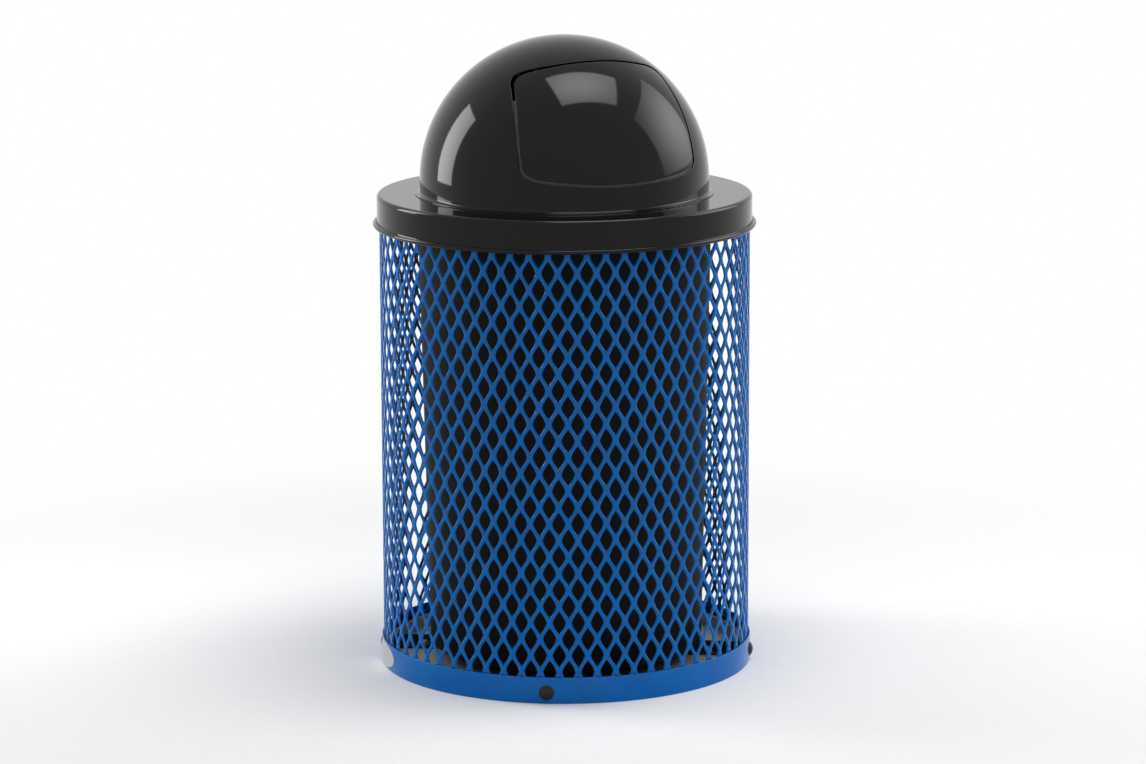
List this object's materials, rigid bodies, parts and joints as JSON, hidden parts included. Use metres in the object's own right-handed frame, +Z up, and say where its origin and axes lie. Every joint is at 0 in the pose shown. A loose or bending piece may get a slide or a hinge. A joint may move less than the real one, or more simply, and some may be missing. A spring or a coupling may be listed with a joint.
{
  "type": "dome top waste receptacle",
  "caption": "Round litter bin: expanded-metal cylinder on a base band, plastic liner inside, lift-off lid with a domed top and a sprung push door.",
  "frame": {"origin": "on the floor at the middle of the base band", "axes": "+Z up along the body's axis; -Y is the front, where the push door is; +X is the right-hand side for someone who faces the door"},
  "size_m": [0.625, 0.625, 1.0345],
  "materials": {
    "blue_coating": "smooth blue thermoplastic coating, semi-gloss",
    "lid_black": "high-gloss black powder coat",
    "liner_black": "moulded black polyethylene, matt",
    "pan_grey": "grey galvanised sheet, dull",
    "black_paint": "black enamel, satin",
    "zinc_steel": "bright zinc plate"
  },
  "bodies": {
    "body": {"base_band": "blue_coating", "mesh_shell": "blue_coating", "top_rim_band": "blue_coating", "bottom_pan": "pan_grey", "cross_bar_long": "black_paint", "cross_bar_front": "black_paint", "cross_bar_back": "black_paint", "carriage_bolt_1": "black_paint", "carriage_bolt_2": "black_paint", "carriage_bolt_3": "black_paint", "carriage_bolt_4": "black_paint", "carriage_nut_1": "zinc_steel", "carriage_nut_2": "zinc_steel", "carriage_nut_3": "zinc_steel", "carriage_nut_4": "zinc_steel", "pan_bolt_1": "zinc_steel", "pan_bolt_2": "zinc_steel", "pan_bolt_3": "zinc_steel", "pan_bolt_4": "zinc_steel", "pan_nut_1": "zinc_steel", "pan_nut_2": "zinc_steel", "pan_nut_3": "zinc_steel", "pan_nut_4": "zinc_steel"},
    "liner": {"liner": "liner_black"},
    "lid": {"lid_ring": "lid_black", "dome_shell": "lid_black", "hinge_bracket_left": "black_paint", "hinge_bracket_right": "black_paint", "hinge_rod": "zinc_steel", "rod_clip_left": "zinc_steel", "rod_clip_right": "zinc_steel"},
    "door": {"door_panel": "lid_black", "door_stop_frame": "black_paint", "door_arm_left": "black_paint", "door_arm_right": "black_paint", "door_spring_left": "zinc_steel", "door_spring_right": "zinc_steel"}
  },
  "joints": [
    {"name": "liner_lift", "type": "slide", "parent": "body", "child": "liner", "axis": [0, 0, 1], "range_m": [0, 0.8]},
    {"name": "lid_lift", "type": "slide", "parent": "liner", "child": "lid", "axis": [0, 0, 1], "range_m": [0, 0.3]},
    {"name": "door_push", "type": "hinge", "parent": "lid", "child": "door", "pos_m": [0, -0.069, 0.9647], "axis": [1, 0, 0], "range_deg": [0, 65], "stiffness_Nm_per_rad": 1.4, "springref_deg": -80.21}
  ]
}
